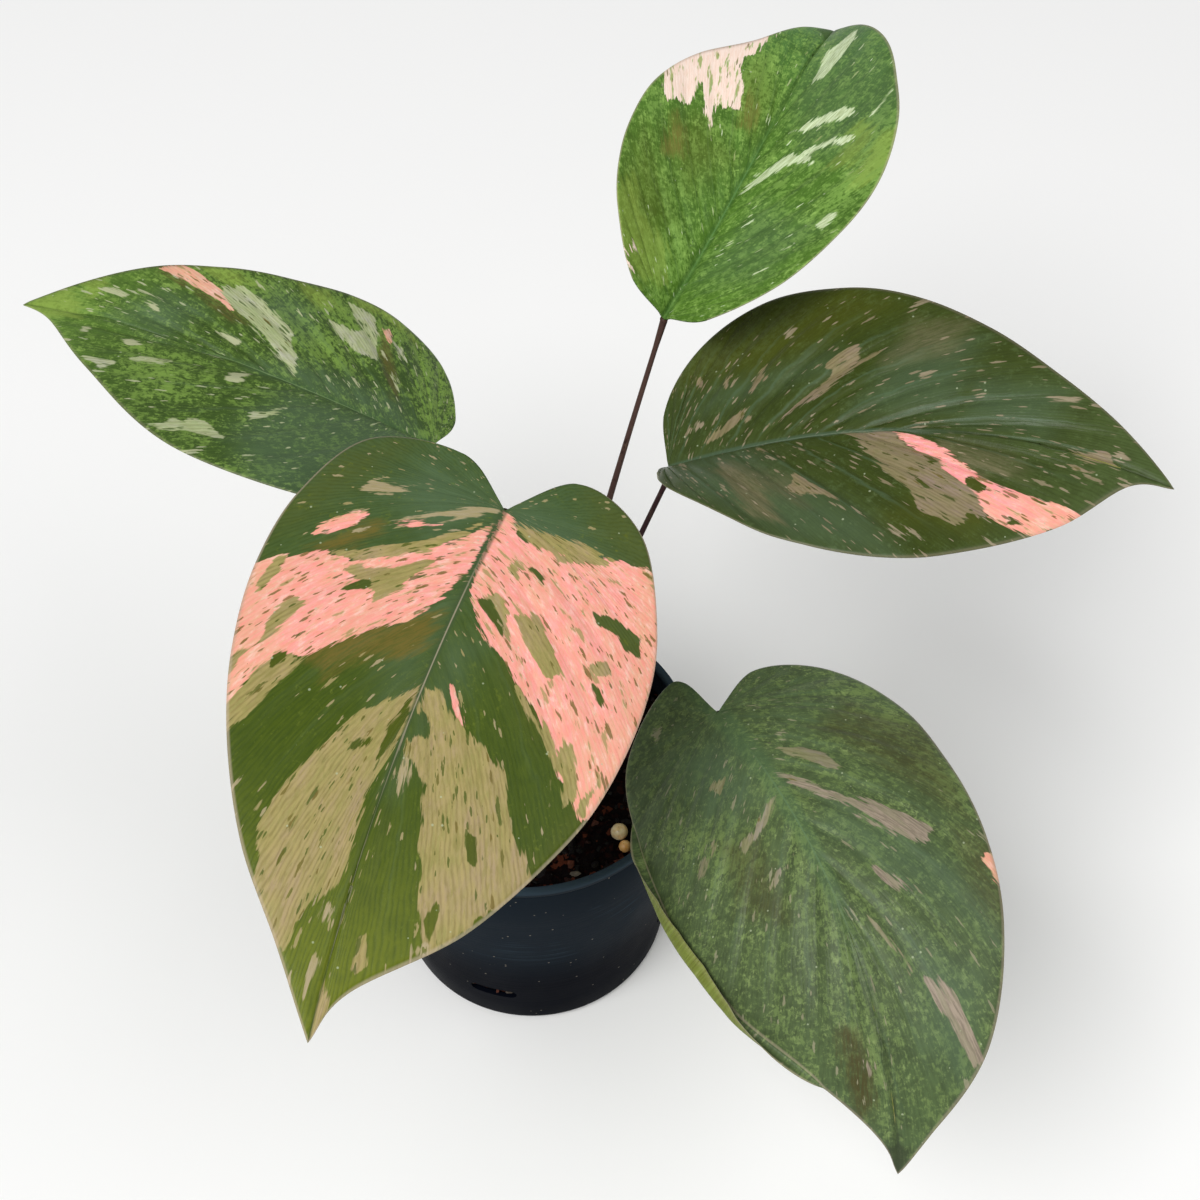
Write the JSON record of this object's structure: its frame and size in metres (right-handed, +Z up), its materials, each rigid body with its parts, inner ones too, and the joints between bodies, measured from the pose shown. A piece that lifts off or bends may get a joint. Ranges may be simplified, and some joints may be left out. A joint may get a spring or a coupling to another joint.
{
  "type": "potted variegated homalomena humilis",
  "caption": "Small potted aroid with heart-shaped green leaves splashed pink and tan on thin maroon stalks, in a thin dark nursery pot of soil.",
  "frame": {"origin": "centre of the pot's flat underside", "axes": "+Z up the pot's axis, -Y toward the side that the front leaf leans to"},
  "size_m": [0.2251, 0.2395, 0.204],
  "materials": {
    "pot": "satin",
    "soil": "matte",
    "crown": "satin",
    "bead": "satin",
    "petiole": "satin",
    "blade_front": "satin",
    "blade_left": "satin",
    "blade_top": "satin",
    "blade_right": "satin",
    "blade_low": "satin"
  },
  "bodies": {
    "root": {"pot": "pot", "soil": "soil", "crown": "crown", "bead_large": "bead", "bead_small": "bead", "petiole_front": "petiole", "petiole_left": "petiole", "petiole_top": "petiole", "petiole_right": "petiole", "petiole_low": "petiole", "blade_front": "blade_front", "blade_left": "blade_left", "blade_top": "blade_top", "blade_right": "blade_right", "blade_low": "blade_low"}
  },
  "joints": []
}
